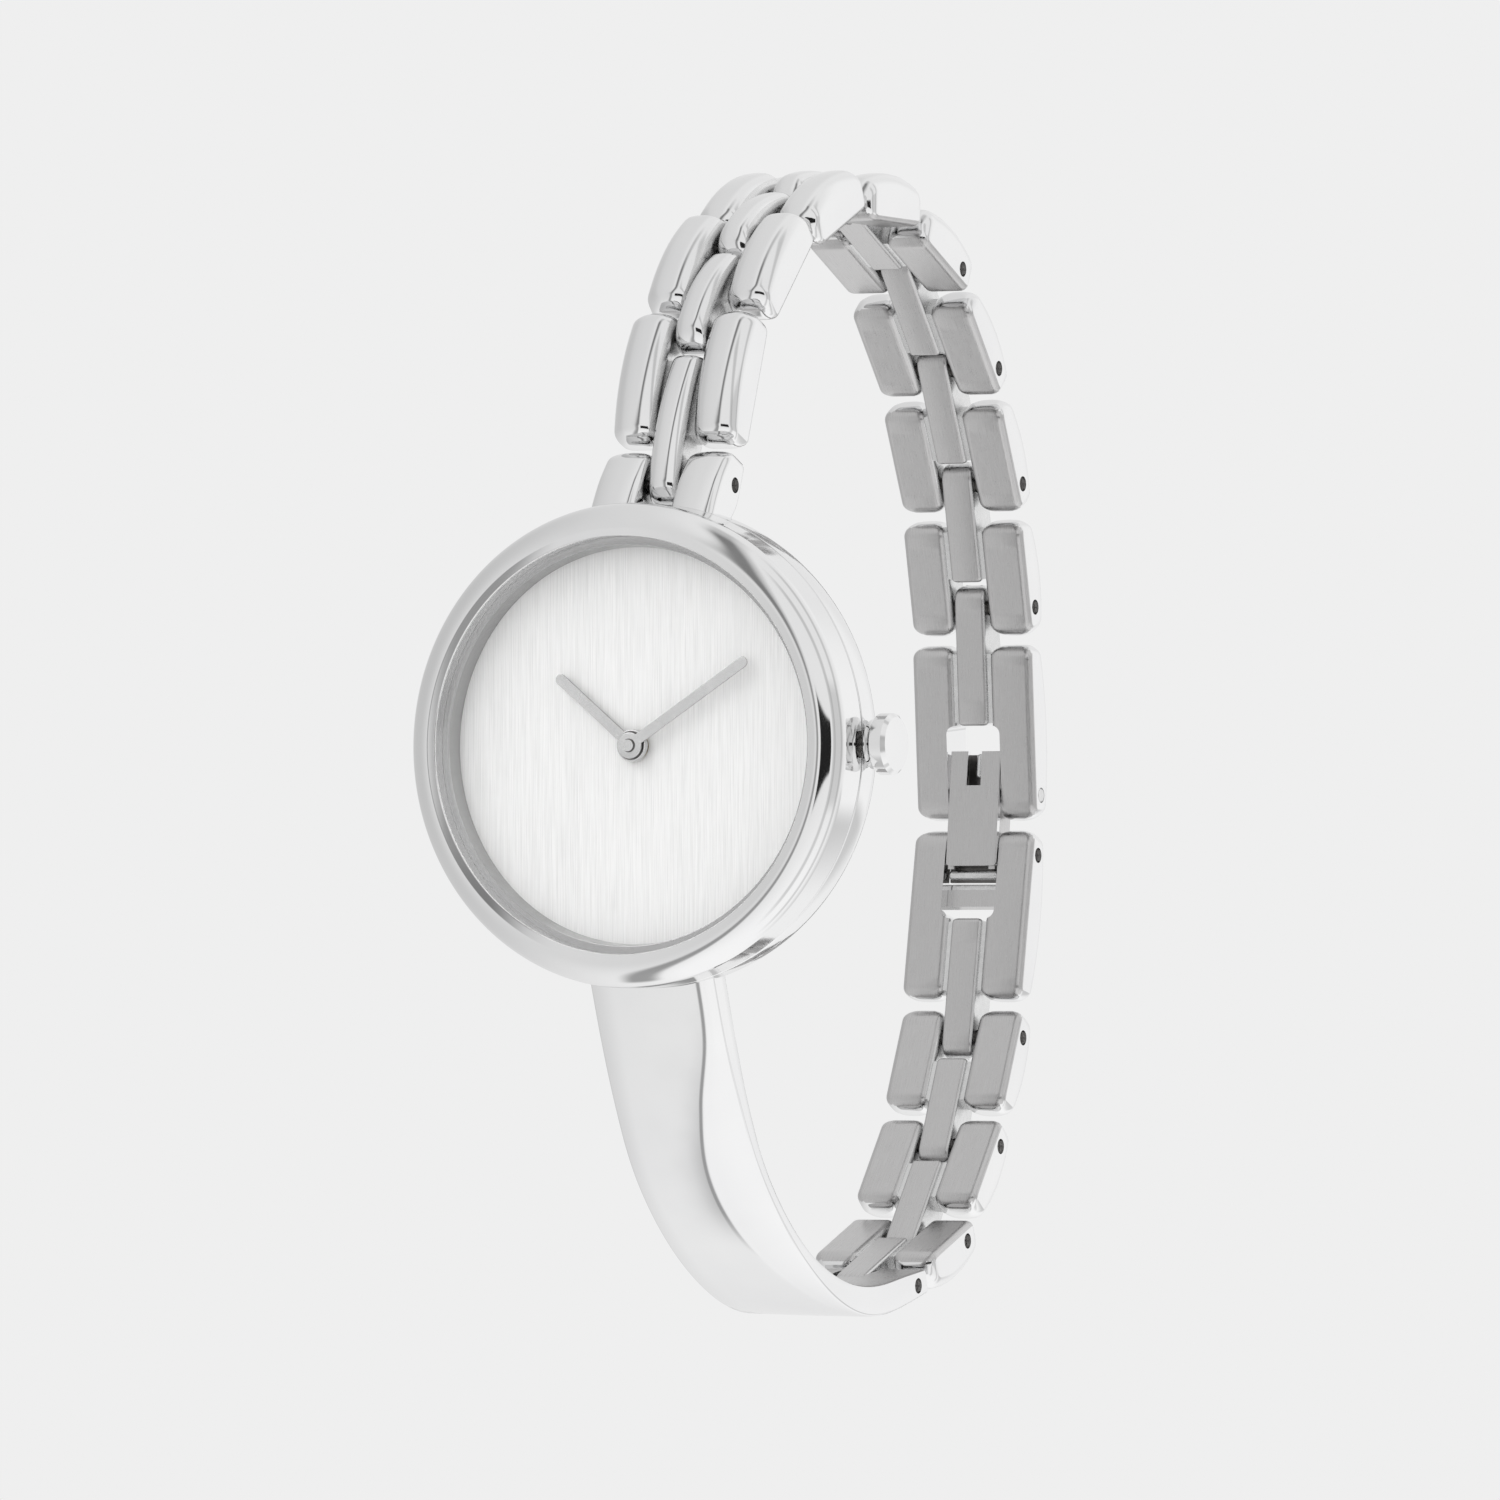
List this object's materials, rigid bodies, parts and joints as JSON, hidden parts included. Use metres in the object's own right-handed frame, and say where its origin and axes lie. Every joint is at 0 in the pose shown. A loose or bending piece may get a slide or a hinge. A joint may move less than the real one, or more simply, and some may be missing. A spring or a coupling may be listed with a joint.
{
  "type": "bangle watch",
  "caption": "Bangle watch with a round domed case, plain brushed dial, rigid curved half below, and an H-link bracelet with a hinged clip clasp",
  "frame": {"origin": "centre of the wrist opening, level with the centre of the dial", "axes": "+X from 9 to 3 o'clock towards the crown, +Y from the dial towards the clasp, +Z towards 12 o'clock"},
  "size_m": [0.0299, 0.0504, 0.0681],
  "materials": {
    "polished_steel": "mirror polished stainless steel",
    "hand_steel": "polished",
    "pin_steel": "ground",
    "dial_silver": "fine vertical brushing",
    "crystal_glass": "clear",
    "gasket_rubber": "matte",
    "holder_plastic": "matte",
    "movement_brass": "plated",
    "board_green": "lacquered",
    "coil_copper": "enamelled wire",
    "battery_steel": "satin"
  },
  "bodies": {
    "watch_head": {"case_body": "polished_steel", "bezel": "polished_steel", "crystal": "crystal_glass", "crystal_gasket": "holder_plastic", "dial": "dial_silver", "dial_ring": "polished_steel", "movement_holder": "holder_plastic", "movement_plate": "movement_brass", "train_bridge": "movement_brass", "battery": "battery_steel", "battery_clip": "pin_steel", "coil": "coil_copper", "circuit_board": "board_green", "crown_tube": "pin_steel", "case_back": "polished_steel", "case_back_gasket": "gasket_rubber", "lug_pin": "pin_steel", "bangle": "polished_steel", "bangle_pin": "pin_steel"},
    "stem_carriage": {"setting_lever": "pin_steel"},
    "crown_and_stem": {"crown": "polished_steel", "stem": "pin_steel", "crown_gasket": "gasket_rubber"},
    "minute_work": {"minute_hand": "hand_steel", "cannon_pinion": "movement_brass"},
    "hour_work": {"hour_hand": "hand_steel", "hour_wheel": "movement_brass"},
    "minute_wheel": {"minute_wheel": "movement_brass"},
    "link_1": {"link_1": "polished_steel", "link_pin_1": "pin_steel"},
    "link_2": {"link_2": "polished_steel", "link_pin_2": "pin_steel"},
    "link_3": {"link_3": "polished_steel", "link_pin_3": "pin_steel"},
    "link_4": {"link_4": "polished_steel", "link_pin_4": "pin_steel"},
    "link_5": {"link_5": "polished_steel", "link_pin_5": "pin_steel"},
    "link_6": {"link_6": "polished_steel", "link_pin_6": "pin_steel"},
    "link_7": {"link_7": "polished_steel", "link_pin_7": "pin_steel"},
    "link_8": {"link_8": "polished_steel", "link_pin_8": "pin_steel"},
    "upper_clasp": {"upper_clasp_link": "polished_steel", "catch_pin": "polished_steel"},
    "lower_link_1": {"lower_link_1": "polished_steel", "lower_pin_1": "pin_steel"},
    "lower_link_2": {"lower_link_2": "polished_steel", "lower_pin_2": "pin_steel"},
    "lower_link_3": {"lower_link_3": "polished_steel", "lower_pin_3": "pin_steel"},
    "lower_clasp": {"lower_clasp_link": "polished_steel", "clip_pin": "pin_steel"},
    "clip": {"clip": "polished_steel"}
  },
  "joints": [
    {"name": "crown_pull", "type": "slide", "parent": "watch_head", "child": "stem_carriage", "axis": [1, 0, 0], "range_m": [0, 0.0009]},
    {"name": "crown_turn", "type": "hinge", "parent": "stem_carriage", "child": "crown_and_stem", "pos_m": [0.012, -0.02305, 0], "axis": [1, 0, 0], "continuous": true},
    {"name": "minute_turn", "type": "hinge", "parent": "watch_head", "child": "minute_work", "pos_m": [0, -0.0251, 0], "axis": [0, 1, 0], "continuous": true},
    {"name": "hour_turn", "type": "hinge", "parent": "watch_head", "child": "hour_work", "pos_m": [0, -0.0251, 0], "axis": [0, 1, 0], "continuous": true},
    {"name": "minute_wheel_turn", "type": "hinge", "parent": "watch_head", "child": "minute_wheel", "pos_m": [0.00245, -0.0251, 0], "axis": [0, 1, 0], "continuous": true},
    {"name": "link_1_hinge", "type": "hinge", "parent": "watch_head", "child": "link_1", "pos_m": [0, -0.02042, 0.01519], "axis": [1, 0, 0], "range_deg": [0, 25]},
    {"name": "link_2_hinge", "type": "hinge", "parent": "link_1", "child": "link_2", "pos_m": [0, -0.01692, 0.02421], "axis": [1, 0, 0], "range_deg": [0, 25]},
    {"name": "link_3_hinge", "type": "hinge", "parent": "link_2", "child": "link_3", "pos_m": [0, -0.0114, 0.02957], "axis": [1, 0, 0], "range_deg": [0, 25]},
    {"name": "link_4_hinge", "type": "hinge", "parent": "link_3", "child": "link_4", "pos_m": [0, -0.00434, 0.03263], "axis": [1, 0, 0], "range_deg": [0, 25]},
    {"name": "link_5_hinge", "type": "hinge", "parent": "link_4", "child": "link_5", "pos_m": [0, 0.00334, 0.03258], "axis": [1, 0, 0], "range_deg": [0, 25]},
    {"name": "link_6_hinge", "type": "hinge", "parent": "link_5", "child": "link_6", "pos_m": [0, 0.01034, 0.02938], "axis": [1, 0, 0], "range_deg": [0, 25]},
    {"name": "link_7_hinge", "type": "hinge", "parent": "link_6", "child": "link_7", "pos_m": [0, 0.0154, 0.02359], "axis": [1, 0, 0], "range_deg": [0, 25]},
    {"name": "link_8_hinge", "type": "hinge", "parent": "link_7", "child": "link_8", "pos_m": [0, 0.01881, 0.0167], "axis": [1, 0, 0], "range_deg": [0, 25]},
    {"name": "upper_clasp_hinge", "type": "hinge", "parent": "link_8", "child": "upper_clasp", "pos_m": [0, 0.02058, 0.00921], "axis": [1, 0, 0], "range_deg": [0, 25]},
    {"name": "lower_link_1_hinge", "type": "hinge", "parent": "watch_head", "child": "lower_link_1", "pos_m": [0, 0.00409, -0.0319], "axis": [1, 0, 0], "range_deg": [0, 6]},
    {"name": "lower_link_2_hinge", "type": "hinge", "parent": "lower_link_1", "child": "lower_link_2", "pos_m": [0, 0.01095, -0.02935], "axis": [1, 0, 0], "range_deg": [0, 12]},
    {"name": "lower_link_3_hinge", "type": "hinge", "parent": "lower_link_2", "child": "lower_link_3", "pos_m": [0, 0.01561, -0.0237], "axis": [1, 0, 0], "range_deg": [0, 18]},
    {"name": "lower_clasp_hinge", "type": "hinge", "parent": "lower_link_3", "child": "lower_clasp", "pos_m": [0, 0.01882, -0.01712], "axis": [1, 0, 0], "range_deg": [0, 24]},
    {"name": "clip_hinge", "type": "hinge", "parent": "lower_clasp", "child": "clip", "pos_m": [0, 0.02098, -0.00597], "axis": [1, 0, 0], "range_deg": [0, 100]}
  ],
  "couplings": [
    {"joint": "hour_turn", "follows": "minute_turn", "ratio": 0.083333},
    {"joint": "minute_wheel_turn", "follows": "minute_turn", "ratio": -0.33333},
    {"joint": "lower_link_2_hinge", "follows": "lower_link_1_hinge", "ratio": 2},
    {"joint": "lower_link_3_hinge", "follows": "lower_link_1_hinge", "ratio": 3},
    {"joint": "lower_clasp_hinge", "follows": "lower_link_1_hinge", "ratio": 4}
  ]
}
